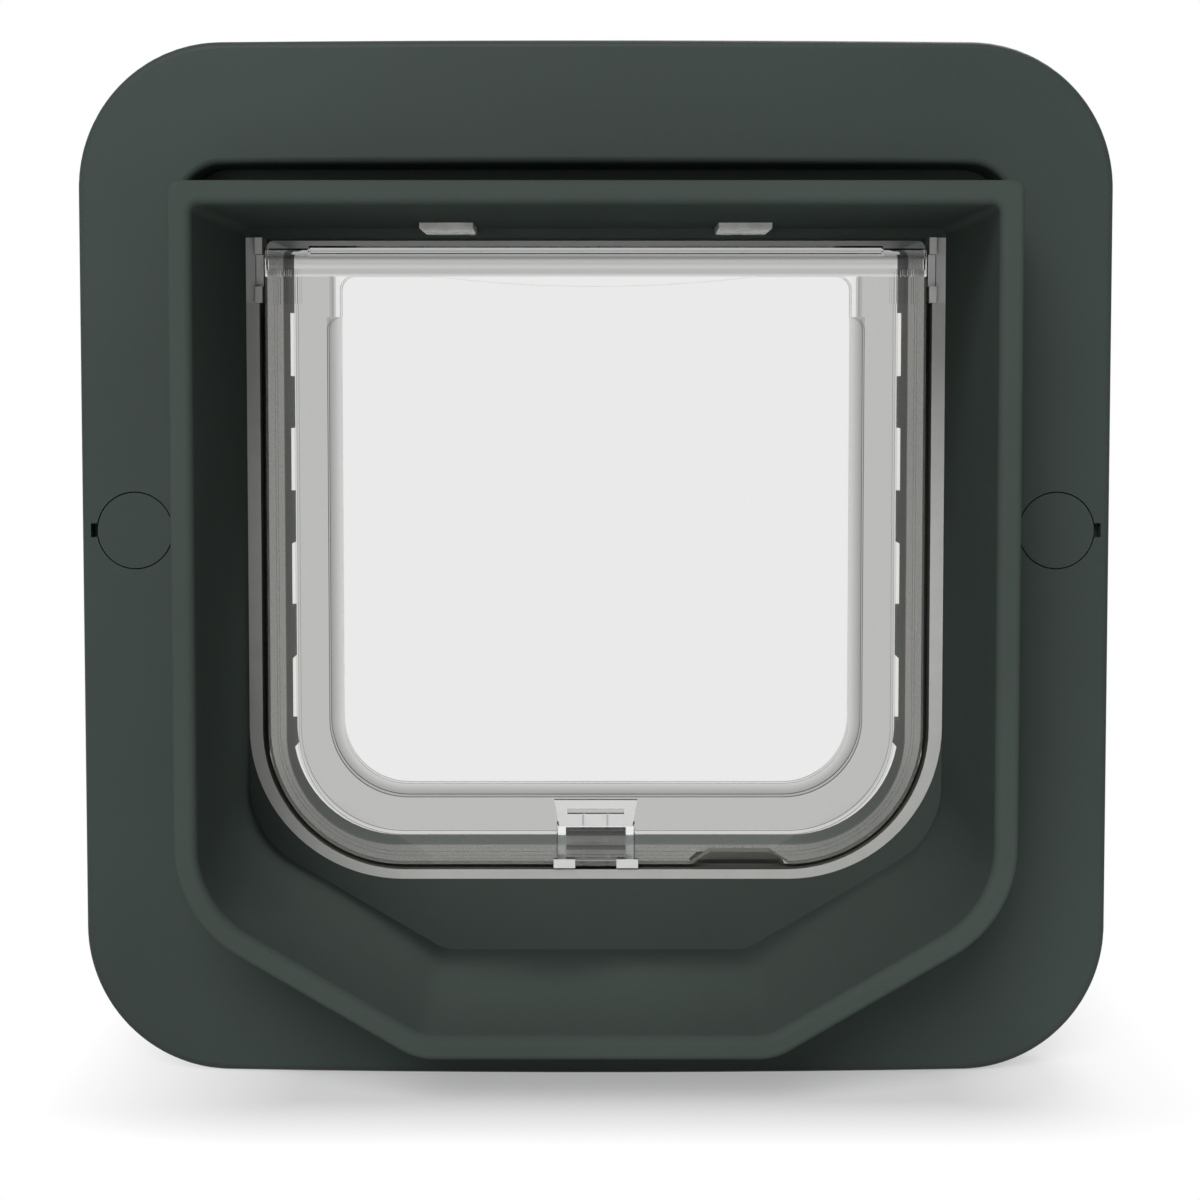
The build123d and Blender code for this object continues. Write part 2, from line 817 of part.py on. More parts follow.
def standoff_places():
    """Posts under the circuit board's corners."""
    inset = 2 * standoff_radius
    rows = (board_z - board_height / 2 + inset, board_z + board_height / 2 - inset)
    return [(x, z) for x in (board_left + inset, board_right - inset) for z in rows]


def make_circuit_board():
    """Board on its posts, with the reader chips and the button's switch."""
    top = board_y + board_thickness
    low = board_z - board_height / 2
    board = block(board_left, board_right, board_y, top, low, low + board_height)
    half = chip_size / 2
    for x in (board_left / 2, 0, board_right / 2):
        board += block(x - half, x + half, top, top + chip_height, board_z - half, board_z + half)
    switch = block(-switch_half, switch_half, top, top + switch_height, -switch_half, switch_half)
    return board + Pos(button_x, 0, board_z) * switch


def button_inner_y():
    """Inner end of the button's guide."""
    return room_y - crown_fall(button_x) - frame_wall - button_guide


def make_learn_button():
    """Round button with a flange behind its guide and a stem to the switch."""
    face = room_y - crown_fall(button_x) + button_stand + button_travel
    flange_y = button_inner_y()
    cap = rod_y(button_x, board_z, button_radius, flange_y - button_flange_height, face)
    cap = fillet(cap.faces().sort_by(Axis.Y)[-1].edges(), button_round)
    flange = rod_y(button_x, board_z, button_flange, flange_y - button_flange_height, flange_y)
    switch_top = board_y + board_thickness + switch_height + switch_gap
    stem = rod_y(button_x, board_z, button_stem, switch_top, flange_y)
    return cap + flange + stem


def cell_places():
    """Middle of each cell, and which way its nub points."""
    rows = [tray_z + cell_fit + cell_radius, tray_z + 2 * cell_fit + 3 * cell_radius]
    reach = contact_rib + contact_thickness + cell_length / 2
    return [(side * reach, z, side) for side in (-1, 1) for z in rows]


def make_batteries():
    """Four round cells in two rows, with their nubs towards the outer contacts."""
    cells = []
    for x, z, side in cell_places():
        inner = x - side * cell_length / 2
        shoulder = x + side * (cell_length / 2 - cell_nub)
        tip = x + side * cell_length / 2
        can = rod_x(cell_y, z, cell_radius, min(inner, shoulder), max(inner, shoulder))
        nub = rod_x(cell_y, z, cell_nub_radius, min(shoulder, tip), max(shoulder, tip))
        cells.append(can + nub)
    return cells


def make_battery_contacts():
    """Thin plates at both ends of each cell."""
    plates = []
    for x, z, side in cell_places():
        for end in (-1, 1):
            near = x + end * cell_length / 2
            away = near + end * contact_thickness
            low = z - contact_half
            left = min(near, away)
            right = max(near, away)
            plates.append(block(left, right, tray_y, cell_y + contact_half, low, z + contact_half))
    return plates


def make_battery_cover():
    """Crowned cover flush with the housing's face, with a finger grip."""
    cover = slab(cover_outline(), cover_inner_y(), room_y)
    cover &= crown(room_y, -1)
    cover &= outside_room(cover_thickness)
    low = tray_z - cover_ledge + cover_grip_rise
    grip = block(-cover_grip_half, cover_grip_half, 0, far, low, low + cover_grip_height)
    return cover - (grip & outside_room(cover_grip_depth))


def make_lock_catch():
    """Bolt behind the flap: a head with sloped shoulders on a narrower stem."""
    head_z = passage_z - passage_wall - catch_head_drop
    top_half = catch_half - catch_shoulder
    shoulder_z = catch_top_z - catch_shoulder
    points = [
        (-catch_half, head_z),
        (catch_half, head_z),
        (catch_half, shoulder_z),
        (top_half, catch_top_z),
        (-top_half, catch_top_z),
        (-catch_half, shoulder_z),
    ]
    front = catch_y - catch_depth / 2
    back = catch_y + catch_depth / 2
    head = Pos(catch_x, 0, 0) * slab(make_face(Polyline(*points, close=True)), front, back)
    left = catch_x - catch_stem_half
    right = catch_x + catch_stem_half
    return head + block(left, right, front, back, catch_base_z, head_z) - make_plunger()


def make_plunger():
    """Steel core of the solenoid, fixed in the catch."""
    top = catch_base_z + plunger_bite
    return rod_z(catch_x, catch_y, plunger_radius, top - plunger_length, top)


def make_solenoid():
    """Coil body on the housing's floor with a bore for the plunger."""
    deep = solenoid_depth / 2
    left = catch_x - solenoid_half
    right = catch_x + solenoid_half
    body = block(left, right, catch_y - deep, catch_y + deep, frame_wall, solenoid_top_z)
    bore_floor = catch_base_z + plunger_bite - plunger_length - solenoid_gap
    return body - rod_z(catch_x, catch_y, plunger_radius + plunger_running, bore_floor, solenoid_top_z)


pieces = {
    "outer_frame": make_outer_frame(),
    "screw_cap_left": make_screw_cap(-1),
    "screw_cap_right": make_screw_cap(1),
    "fixing_screws": [make_fixing_screw(-1), make_fixing_screw(1)],
    "tunnel": make_tunnel(),
    "tunnel_sleeve": make_sleeve(),
    "antenna_coil": make_coil(),
    "sensor_lens_left": make_sensor_lens(-1),
    "sensor_lens_right": make_sensor_lens(1),
    "draught_seal": make_draught_seal(),
    "hinge_bearing_left": make_hinge_bearing(-1),
    "hinge_bearing_right": make_hinge_bearing(1),
    "sill_magnet": make_sill_magnet(),
    "flap_panel": make_flap_panel(),
    "hinge_pin_left": make_hinge_pin(-1),
    "hinge_pin_right": make_hinge_pin(1),
    "latch_clip": make_latch_clip(),
    "flap_magnet": make_flap_magnet(),
    "inner_housing": make_inner_housing(),
    "housing_back_plate": make_back_plate(),
    "housing_screws": make_housing_screws(),
    "tunnel_screws": make_tunnel_screws(),
    "circuit_board": make_circuit_board(),
    "learn_button": make_learn_button(),
    "batteries": make_batteries(),
    "battery_contacts": make_battery_contacts(),
    "battery_cover": make_battery_cover(),
    "lock_catch": make_lock_catch(),
    "catch_plunger": make_plunger(),
    "solenoid": make_solenoid(),
}

os.makedirs("parts", exist_ok=True)
for name, piece in pieces.items():
    shape = Compound(children=piece) if isinstance(piece, list) else piece
    export_step(shape, f"parts/{name}.step")
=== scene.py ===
# %% [markdown]
# # Dressing a cat flap in Blender
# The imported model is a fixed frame: every moulding, screw and magnet is already in its place and at its
# real size, in metres. This lesson gives each piece its finish, adds what is too fine for the solids,
# such as screw threads, and sets up a small white studio. Nothing in the frame is moved or reshaped.

# %% Load the frame
import math

import bpy
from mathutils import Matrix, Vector


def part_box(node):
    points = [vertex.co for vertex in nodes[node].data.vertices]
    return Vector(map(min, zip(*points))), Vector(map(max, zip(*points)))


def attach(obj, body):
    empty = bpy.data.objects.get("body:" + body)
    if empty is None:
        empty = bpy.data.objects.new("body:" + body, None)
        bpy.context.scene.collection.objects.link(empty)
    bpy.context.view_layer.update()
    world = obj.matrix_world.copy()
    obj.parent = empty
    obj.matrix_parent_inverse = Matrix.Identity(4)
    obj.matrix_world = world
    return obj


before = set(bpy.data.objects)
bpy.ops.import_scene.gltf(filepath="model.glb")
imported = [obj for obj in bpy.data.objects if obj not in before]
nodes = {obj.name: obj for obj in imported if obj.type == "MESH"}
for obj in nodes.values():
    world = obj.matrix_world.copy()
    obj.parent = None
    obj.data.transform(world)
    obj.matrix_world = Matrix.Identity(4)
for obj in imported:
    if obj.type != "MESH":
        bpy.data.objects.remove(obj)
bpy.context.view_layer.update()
print("pieces in the frame:", len(nodes))

# %% [markdown]
# ## Reading sizes from the frame
# Finishes that follow a shape, such as the frosted margin round the flap's window, need its size. These
# are measured on the solids instead of being typed in again, so they stay true if the model changes.

# %% Measure the pieces that the finishes follow
MM = 0.001
flap_low, flap_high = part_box("flap_panel")
flap_half = flap_high.x
pin_low, pin_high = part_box("hinge_pin_right")
hinge_y = (pin_low.y + pin_high.y) / 2
hinge_z = (pin_low.z + pin_high.z) / 2
pin_radius = (pin_high.z - pin_low.z) / 2
bearing_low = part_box("hinge_bearing_right")[0]
print("flap half width mm:", round(flap_half / MM, 2), "foot mm:", round(flap_low.z / MM, 2))

# %% [markdown]
# ## A small kit for shader graphs
# A shader is a graph of nodes. Writing every link by hand hides the idea, so a few helpers make a node,
# set its sockets and join it in one call. A value that is a number is set on the socket itself, and a
# value that is another node's output is linked.

# %% Helpers that build a material
# Painted dark shade on the side walls of clear plastic, and the share of light that still passes there
EDGE_PAINTED_SHADE = (0.11, 0.115, 0.10, 1.0)
EDGE_CLEARNESS = 0.05


def make_material(name):
    """An empty material with its graph, surface shader and a coordinate output in metres."""
    material = bpy.data.materials.new(name)
    material.use_nodes = True
    graph = material.node_tree
    shader = graph.nodes["Principled BSDF"]
    place = graph.nodes.new("ShaderNodeTexCoord").outputs["Object"]
    return material, graph, shader, place


def put(graph, socket, value):
    """Set a socket to a number or colour, or link another node's output to it."""
    if isinstance(value, bpy.types.NodeSocket):
        graph.links.new(value, socket)
    else:
        socket.default_value = value


def math_node(graph, operation, first, second=0.0):
    """One step of arithmetic on fields or numbers."""
    node = graph.nodes.new("ShaderNodeMath")
    node.operation = operation
    put(graph, node.inputs[0], first)
    put(graph, node.inputs[1], second)
    return node.outputs[0]


def noise(graph, place, scale, detail=2.0, roughness=0.5):
    """Soft random field with about scale cells to the metre."""
    node = graph.nodes.new("ShaderNodeTexNoise")
    put(graph, node.inputs["Vector"], place)
    node.inputs["Scale"].default_value = scale
    node.inputs["Detail"].default_value = detail
    node.inputs["Roughness"].default_value = roughness
    return node.outputs["Fac"]


def spread(graph, value, low, high, from_low=0.3, from_high=0.7):
    """Map a field to the range low to high."""
    node = graph.nodes.new("ShaderNodeMapRange")
    put(graph, node.inputs["Value"], value)
    node.inputs["From Min"].default_value = from_low
    node.inputs["From Max"].default_value = from_high
    node.inputs["To Min"].default_value = low
    node.inputs["To Max"].default_value = high
    return node.outputs["Result"]


def blend(graph, factor, first, second):
    """Mix two colours by a field."""
    node = graph.nodes.new("ShaderNodeMix")
    node.data_type = "RGBA"
    put(graph, node.inputs[0], factor)
    put(graph, node.inputs[6], first)
    put(graph, node.inputs[7], second)
    return node.outputs[2]


def bump(graph, shader, height, strength, depth):
    """Turn a height field into small dents on the surface."""
    node = graph.nodes.new("ShaderNodeBump")
    put(graph, node.inputs["Height"], height)
    put(graph, node.inputs["Strength"], strength)
    node.inputs["Distance"].default_value = depth
    graph.links.new(node.outputs["Normal"], shader.inputs["Normal"])


def side_walls(graph, limit=0.95):
    """1 on faces that run along Y, such as edges and the sides of steps, and 0 on front and back faces."""
    normal = graph.nodes.new("ShaderNodeSeparateXYZ")
    put(graph, normal.inputs[0], graph.nodes.new("ShaderNodeTexCoord").outputs["Normal"])
    return math_node(graph, "LESS_THAN", math_node(graph, "ABSOLUTE", normal.outputs["Y"]), limit)


def smoke(graph, shader, walls, colour, clearness, joined=0.0):
    """Clear plastic; side walls painted dark shade, as thick edges look. Lamps shine through it on what is
    inside.

    Joined picks faces where two clear pieces touch, which can't be seen.
    """
    put(graph, shader.inputs["Base Color"], blend(graph, walls, colour, EDGE_PAINTED_SHADE))
    through = math_node(graph, "MULTIPLY", clearness, spread(graph, walls, 1.0, EDGE_CLEARNESS, 0.0, 1.0))
    put(graph, shader.inputs["Transmission Weight"], through)
    put(graph, shader.inputs["Specular IOR Level"], spread(graph, walls, 0.5, 0.0, 0.0, 1.0))
    straight = graph.nodes.new("ShaderNodeBsdfTransparent")
    mix = graph.nodes.new("ShaderNodeMixShader")
    lamp_ray = graph.nodes.new("ShaderNodeLightPath").outputs["Is Shadow Ray"]
    passing = math_node(graph, "MULTIPLY", lamp_ray, through)
    put(graph, mix.inputs[0], math_node(graph, "MAXIMUM", passing, joined))
    graph.links.new(shader.outputs[0], mix.inputs[1])
    graph.links.new(straight.outputs[0], mix.inputs[2])
    graph.links.new(mix.outputs[0], graph.nodes["Material Output"].inputs["Surface"])


def dress(material, *names):
    """Give a material to CAD nodes."""
    for name in names:
        piece = nodes[name]
        piece.data.materials.clear()
        piece.data.materials.append(material)
    print(material.name, "on", ", ".join(names))


# %% [markdown]
# ## Anthracite moulding
# The frames and the tunnel are injection moulded in a dark grey-green plastic. A spark-eroded mould leaves
# a fine, even grain on it, much smaller than a millimetre, that breaks up the gloss. A flat colour would
# look like paper, so the grain drives bump and roughness, and a slow drift of tone keeps the wide plain
# faces alive. The passage behind the flap is smoother and shines more, apart from its roof.

# %% Anthracite plastic
PASSAGE_POLISH = 40.0 * MM
ROOF_RISE = 3.0 * MM


def anthracite(name, tone, satin, sheen, grain, polished_to=None):
    """Moulded plastic: tone is its colour, satin its roughness, sheen its shine and grain its texture.

    Up to the depth polished_to, if it is given, the moulding is smoother and shines more below its roof.
    """
    material, graph, shader, place = make_material(name)
    drift = noise(graph, place, 14.0, 3.0)
    speckle = noise(graph, place, 2600.0, 2.0, 0.6)
    deep = tuple(channel * 0.90 for channel in tone) + (1.0,)
    light = tuple(channel * 1.10 for channel in tone) + (1.0,)
    mixed = math_node(graph, "ADD", math_node(graph, "MULTIPLY", drift, 0.7),
                      math_node(graph, "MULTIPLY", speckle, 0.3))
    put(graph, shader.inputs["Base Color"], blend(graph, spread(graph, mixed, 0.0, 1.0), deep, light))
    rough = math_node(graph, "ADD", spread(graph, drift, satin - 0.03, satin + 0.03),
                      spread(graph, speckle, -0.05, 0.05))
    shine = sheen
    if polished_to is not None:
        split = graph.nodes.new("ShaderNodeSeparateXYZ")
        put(graph, split.inputs[0], place)
        roof_z = hinge_z + ROOF_RISE
        textured = math_node(graph, "MAXIMUM",
                             spread(graph, split.outputs["Y"], 0.0, 1.0, polished_to - MM, polished_to + MM),
                             spread(graph, split.outputs["Z"], 0.0, 1.0, roof_z - MM, roof_z))
        rough = math_node(graph, "MULTIPLY", rough, spread(graph, textured, 0.5, 1.0, 0.0, 1.0))
        shine = spread(graph, textured, 0.36, sheen, 0.0, 1.0)
        grain = spread(graph, textured, 0.02, grain, 0.0, 1.0)
    put(graph, shader.inputs["Roughness"], rough)
    put(graph, shader.inputs["Specular IOR Level"], shine)
    shader.inputs["IOR"].default_value = 1.5
    bump(graph, shader, speckle, grain, 0.00006)
    return material


outdoor_plastic = anthracite("anthracite_outdoor", (0.052, 0.068, 0.062), 0.52, 0.20, 0.16)
tunnel_plastic = anthracite("anthracite_tunnel", (0.066, 0.082, 0.074), 0.70, 0.0, 0.12)
indoor_plastic = anthracite("anthracite_indoor", (0.052, 0.068, 0.062), 0.54, 0.16, 0.14, PASSAGE_POLISH)
dress(outdoor_plastic, "outer_frame", "screw_cap_left", "screw_cap_right")
dress(tunnel_plastic, "tunnel", "tunnel_sleeve")
dress(anthracite("smoky_bolt", (0.08, 0.082, 0.074), 0.70, 0.0, 0.12), "lock_catch")
dress(indoor_plastic, "inner_housing", "housing_back_plate", "battery_cover", "learn_button")

# %% [markdown]
# ## Clear flap
# The flap is one clear moulding. Its thin window is polished, while the margin round it is thicker and
# lightly frosted, so it looks greyer against the daylight behind. The bead round the window carries painted
# shade and, at its upper end, a painted highlight and dark line; the thick edges carry painted dark shade,
# and the hinge bar painted bands of light and shade. One graph measures how far a point lies outside the
# window's rounded outline, and that distance picks tint and roughness. It reads only the piece's own
# coordinates, so it swings with the flap.

# %% Distance from an outline on the flap
WINDOW_INSET = 16.5 * MM
WINDOW_BASE = 18.0 * MM
WINDOW_CORNER = 14.6 * MM
WINDOW_DROP = 3.8 * MM
BEAD_WIDTH = 2.9 * MM
MARGIN_INSET = 6.3 * MM
MARGIN_BASE = 6.8 * MM
MARGIN_CORNER = 23.2 * MM
BEAD_STOP = 12.8 * MM
# Where the bead's painted dark line and then the margin's tint start, beyond the window
BEAD_PAINTED_LINE = (1.3 * MM, 2.3 * MM)
SHARP = 0.1 * MM


def outline_distance(graph, split, half, foot, corner):
    """Metres outside an upright outline with two round lower corners, and negative inside it."""
    across = math_node(graph, "ABSOLUTE", split.outputs["X"])
    side = math_node(graph, "SUBTRACT", across, half - corner)
    below = math_node(graph, "SUBTRACT", foot + corner, split.outputs["Z"])
    past_side = math_node(graph, "POWER", math_node(graph, "MAXIMUM", side, 0.0), 2.0)
    past_foot = math_node(graph, "POWER", math_node(graph, "MAXIMUM", below, 0.0), 2.0)
    outside = math_node(graph, "SQRT", math_node(graph, "ADD", past_side, past_foot))
    inside = math_node(graph, "MINIMUM", math_node(graph, "MAXIMUM", side, below), 0.0)
    return math_node(graph, "SUBTRACT", math_node(graph, "ADD", outside, inside), corner)


# %% Clear plastic of the flap
WINDOW_TINT = (0.845, 0.85, 0.845, 1.0)
# Painted shade across the bead round the window, and a painted highlight and dark line at its upper end
BEAD_FOOT_PAINTED_SHADE = (0.64, 0.645, 0.63, 1.0)
BEAD_CREST_PAINTED_SHADE = (0.30, 0.305, 0.29, 1.0)
BEAD_END_PAINTED_HIGHLIGHT = (0.80, 0.805, 0.80, 1.0)
PAINTED_LINE_SHADE = (0.36, 0.365, 0.35, 1.0)
MARGIN_TINT = (0.51, 0.515, 0.50, 1.0)
RIM_TINT = (0.80, 0.785, 0.755, 1.0)
# Each painted band of light and shade on the hinge bar: millimetres above the axis, then tint
BAR_PAINTED_BANDS = ((-3.8, 0.72), (-3.1, 0.47), (-2.4, 0.48), (-1.7, 0.59), (-1.0, 0.47), (-0.4, 0.49), (0.3, 0.20),
             (0.9, 0.39), (1.6, 0.68), (2.3, 0.60), (2.9, 0.22))


def painted_bar_bands(graph, height):
    """Painted bands of light and shade along the hinge bar, where its facets turn."""
    ramp = graph.nodes.new("ShaderNodeValToRGB")
    low, high = BAR_PAINTED_BANDS[0][0] * MM, BAR_PAINTED_BANDS[-1][0] * MM
    put(graph, ramp.inputs[0], spread(graph, height, 0.0, 1.0, hinge_z + low, hinge_z + high))
    stops = ramp.color_ramp.elements
    while len(stops) < len(BAR_PAINTED_BANDS):
        stops.new(0.5)
    for stop, (rise, tint) in zip(stops, BAR_PAINTED_BANDS):
        stop.position = (rise * MM - low) / (high - low)
        stop.color = (tint, tint, tint * 0.98, 1.0)
    return ramp.outputs["Color"]


def in_bore(graph, split):
    """1 on the bore that the hinge pin fills."""
    along = math_node(graph, "POWER", math_node(graph, "SUBTRACT", split.outputs["Y"], hinge_y), 2.0)
    rise = math_node(graph, "POWER", math_node(graph, "SUBTRACT", split.outputs["Z"], hinge_z), 2.0)
    return math_node(graph, "LESS_THAN", math_node(graph, "ADD", along, rise), (pin_radius + SHARP) ** 2)


def clear_flap():
    """Clear plastic with a greyer margin; bead, edges and hinge bar carry painted shade and highlights."""
    material, graph, shader, place = make_material("clear_flap")
    split = graph.nodes.new("ShaderNodeSeparateXYZ")
    put(graph, split.inputs[0], place)
    height = split.outputs["Z"]
    from_window = outline_distance(graph, split, flap_half - WINDOW_INSET,
                                   flap_low.z + WINDOW_BASE, WINDOW_CORNER)
    from_margin = outline_distance(graph, split, flap_half - MARGIN_INSET,
                                   flap_low.z + MARGIN_BASE, MARGIN_CORNER)
    past_window = spread(graph, from_window, 0.0, 1.0, 0.0, SHARP)
    past_bead = spread(graph, from_window, 0.0, 1.0, BEAD_WIDTH, BEAD_WIDTH + SHARP)
    up_bead = spread(graph, from_window, 0.0, 1.0, 0.0, BEAD_WIDTH)
    in_margin = spread(graph, from_margin, 1.0, 0.0, 0.0, SHARP)
    margin_top = hinge_z - WINDOW_DROP
    below_hinge = spread(graph, height, 1.0, 0.0, margin_top - SHARP, margin_top)
    outside = math_node(graph, "MULTIPLY", past_window, in_margin)
    frosted = math_node(graph, "MULTIPLY", outside, below_hinge)
    bead_top = hinge_z - BEAD_STOP
    beaded = spread(graph, height, 1.0, 0.0, bead_top - SHARP, bead_top)
    # Painted shade across the bead, and the painted highlight and dark line near its top
    bead = blend(graph, up_bead, BEAD_FOOT_PAINTED_SHADE, BEAD_CREST_PAINTED_SHADE)
    bead_end = BEAD_END_PAINTED_HIGHLIGHT
    for start, tint in zip(BEAD_PAINTED_LINE, (PAINTED_LINE_SHADE, MARGIN_TINT)):
        bead_end = blend(graph, spread(graph, from_window, 0.0, 1.0, start, start + SHARP), bead_end, tint)
    bead = blend(graph, beaded, bead_end, bead)
    bead_or_margin = blend(graph, past_bead, bead, MARGIN_TINT)
    clear = blend(graph, in_margin, RIM_TINT, WINDOW_TINT)
    clear = blend(graph, below_hinge, painted_bar_bands(graph, height), clear)
    off_window = spread(graph, from_window, 0.0, 1.0, 2.0 * SHARP, 3.0 * SHARP)
    # The side walls below the hinge and off the window get painted dark shade
    walls = math_node(graph, "MULTIPLY", side_walls(graph), below_hinge)
    walls = math_node(graph, "MULTIPLY", walls, off_window)
    smoke(graph, shader, walls, blend(graph, frosted, clear, bead_or_margin), 1.0, in_bore(graph, split))
    ripple = noise(graph, place, 900.0, 2.0)
    put(graph, shader.inputs["Roughness"], spread(graph, frosted, 0.01, 0.03, 0.0, 1.0))
    shader.inputs["IOR"].default_value = 1.49
    bump(graph, shader, ripple, 0.012, 0.00003)
    return material


dress(clear_flap(), "flap_panel")

# %% [markdown]
# ## Seal, bearings and clip
# The strip round the opening, the two hinge blocks and the magnet clip are clear too, but thick and small,
# so they read as smoky or milky. The clip's feet and tongue and the bearings' ribs are painted white, a
# painted highlight for the light that glints through the clear plastic there.

# %% Other clear pieces
RIB_WIDTH = 1.6 * MM
FOOT_HEIGHT = 1.5 * MM
FOOT_INNER = 4.6 * MM
TONGUE_BASE = 8.9 * MM
# White painted on as a highlight, for light that glints through clear plastic
PAINTED_GLINT_WHITE = (0.95, 0.95, 0.94, 1.0)


def on_rib(graph, split):
    """1 on the upright ribs at the front of the hinge blocks."""
    across = math_node(graph, "ABSOLUTE", split.outputs["X"])
    return math_node(graph, "LESS_THAN", across, bearing_low.x + RIB_WIDTH)


def on_foot_or_tongue(graph, split):
    """1 on the two feet below the clip and on the tongue above it."""
    low = math_node(graph, "LESS_THAN", split.outputs["Z"], flap_low.z + FOOT_HEIGHT)
    across = math_node(graph, "ABSOLUTE", split.outputs["X"])
    foot = math_node(graph, "MULTIPLY", low, math_node(graph, "GREATER_THAN", across, FOOT_INNER))
    tongue = math_node(graph, "GREATER_THAN", split.outputs["Z"], flap_low.z + TONGUE_BASE)
    return math_node(graph, "MAXIMUM", foot, tongue)


def in_flap(graph, split):
    """1 on the part of a hinge pin that is pressed into the flap."""
    return math_node(graph, "LESS_THAN", math_node(graph, "ABSOLUTE", split.outputs["X"]), flap_half)


def clear_plastic(name, tint, roughness, clearness, painted_glint=None, joined=None):
    """Clear or milky plastic: clearness is the share of light that passes.

    The glint mask picks parts painted white as a highlight, and joined picks faces that touch another clear
    piece.
    """
    material, graph, shader, place = make_material(name)
    split = graph.nodes.new("ShaderNodeSeparateXYZ")
    put(graph, split.inputs[0], place)
    cloud = noise(graph, place, 220.0, 3.0)
    pale = tuple(min(1.0, channel * 1.06) for channel in tint) + (1.0,)
    colour = blend(graph, spread(graph, cloud, 0.0, 1.0), tint + (1.0,), pale)
    rough = spread(graph, cloud, roughness, roughness + 0.06)
    walls = side_walls(graph)
    # Parts picked by the glint mask are painted white, a painted highlight, and let no light through
    if painted_glint:
        white = painted_glint(graph, split)
        colour = blend(graph, white, colour, PAINTED_GLINT_WHITE)
        not_white = math_node(graph, "SUBTRACT", 1.0, white)
        clearness = math_node(graph, "MULTIPLY", not_white, clearness)
    smoke(graph, shader, walls, colour, clearness, joined(graph, split) if joined else 0.0)
    put(graph, shader.inputs["Roughness"], rough)
    shader.inputs["IOR"].default_value = 1.49
    bump(graph, shader, noise(graph, place, 1200.0), 0.06, 0.00003)
    return material


dress(clear_plastic("clear_clip", (0.94, 0.945, 0.94), 0.04, 0.9, on_foot_or_tongue), "latch_clip")
dress(clear_plastic("clear_bearing", (0.84, 0.84, 0.82), 0.12, 0.10, on_rib),
      "hinge_bearing_left", "hinge_bearing_right")
dress(clear_plastic("clear_pin", (0.70, 0.70, 0.68), 0.12, 0.3, joined=in_flap),
      "hinge_pin_left", "hinge_pin_right")
dress(clear_plastic("milky_seal", (0.60, 0.60, 0.58), 0.30, 0.0), "draught_seal")

# %% [markdown]
# ## Sensors, metal and electrics
# Small parts each have a finish of their own: pale lenses, zinc-plated screws, sintered magnets, enamelled
# copper, the green board, sleeved cells and nickel contacts. Most hide inside, and show when the flap
# swings or the battery cover comes off. The flap's magnet shows bands of reflection and shade through its
# clip, so its tone gets dark bands of painted shade from a wave along its height.

# %% Sensor lenses
def sensor_lens():
    """Pale satin plastic over the sensors."""
    material, graph, shader, place = make_material("sensor_lens")
    cloud = noise(graph, place, 300.0, 3.0)
    put(graph, shader.inputs["Base Color"],
        blend(graph, spread(graph, cloud, 0.0, 1.0), (0.58, 0.585, 0.56, 1.0), (0.70, 0.705, 0.68, 1.0)))
    put(graph, shader.inputs["Roughness"], spread(graph, cloud, 0.22, 0.34))
    bump(graph, shader, noise(graph, place, 1800.0), 0.08, 0.00003)
    return material


dress(sensor_lens(), "sensor_lens_left", "sensor_lens_right")


# %% Metal pieces
# Dark bands of painted shade across the magnets: their pitch, the height of the first and their tone
PAINTED_BAND_PITCH = 3.2 * MM
PAINTED_BAND_RISE = 0.5 * MM
PAINTED_BAND_TONE = (0.17, 0.17, 0.16, 1.0)


def metal(name, colour, roughness, grain_scale, metallic=1.0, painted_bands=False):
    """Plated or sintered metal with a fine grain in its tone and polish, and painted shade bands if the last
    flag is set.
    """
    material, graph, shader, place = make_material(name)
    grain = noise(graph, place, grain_scale, 3.0, 0.6)
    dark = tuple(channel * 0.8 for channel in colour) + (1.0,)
    tone = blend(graph, spread(graph, grain, 0.0, 1.0), dark, colour + (1.0,))
    if painted_bands:
        # Dark bands of painted shade along the height
        split = graph.nodes.new("ShaderNodeSeparateXYZ")
        put(graph, split.inputs[0], place)
        rise = math_node(graph, "SUBTRACT", split.outputs["Z"], flap_low.z + PAINTED_BAND_RISE)
        wave = math_node(graph, "COSINE", math_node(graph, "MULTIPLY", rise, math.tau / PAINTED_BAND_PITCH))
        tone = blend(graph, spread(graph, wave, 0.0, 1.0, 0.1, 0.8), tone, PAINTED_BAND_TONE)
    put(graph, shader.inputs["Base Color"], tone)
    put(graph, shader.inputs["Roughness"], spread(graph, grain, roughness - 0.06, roughness + 0.08))
    shader.inputs["Metallic"].default_value = metallic
    bump(graph, shader, grain, 0.12, 0.00005)
    return material


zinc = metal("zinc_plate", (0.62, 0.62, 0.59), 0.30, 700.0)
dress(zinc, "fixing_screws", "housing_screws", "tunnel_screws", "catch_plunger")
dress(metal("sintered_magnet", (0.58, 0.58, 0.56), 0.36, 1500.0, 0.1, True), "flap_magnet", "sill_magnet")
dress(metal("enamelled_copper", (0.62, 0.30, 0.14), 0.28, 900.0), "antenna_coil")
dress(metal("nickel_contact", (0.72, 0.71, 0.68), 0.22, 600.0), "battery_contacts")
dress(metal("plated_case", (0.34, 0.34, 0.35), 0.36, 800.0), "solenoid")

# %% [markdown]
# ## Screw threads
# The two fixing screws cross the gap that the door fills, so their threads show from the side. A thread is
# a small three-sided ridge wound round the shank: one triangle is carried along a helix, and each step is
# joined to the next. The ridge starts and ends inside the gap, clear of both mouldings.

# %% Wind a thread on each fixing screw
SHANK_RADIUS = 2.0 * MM
THREAD_PITCH = 1.4 * MM
THREAD_HEIGHT = 0.22 * MM
THREAD_WIDTH = 0.7 * MM
THREAD_END = 0.6 * MM
THREAD_SINK = 0.02 * MM
TURN_STEPS = 28


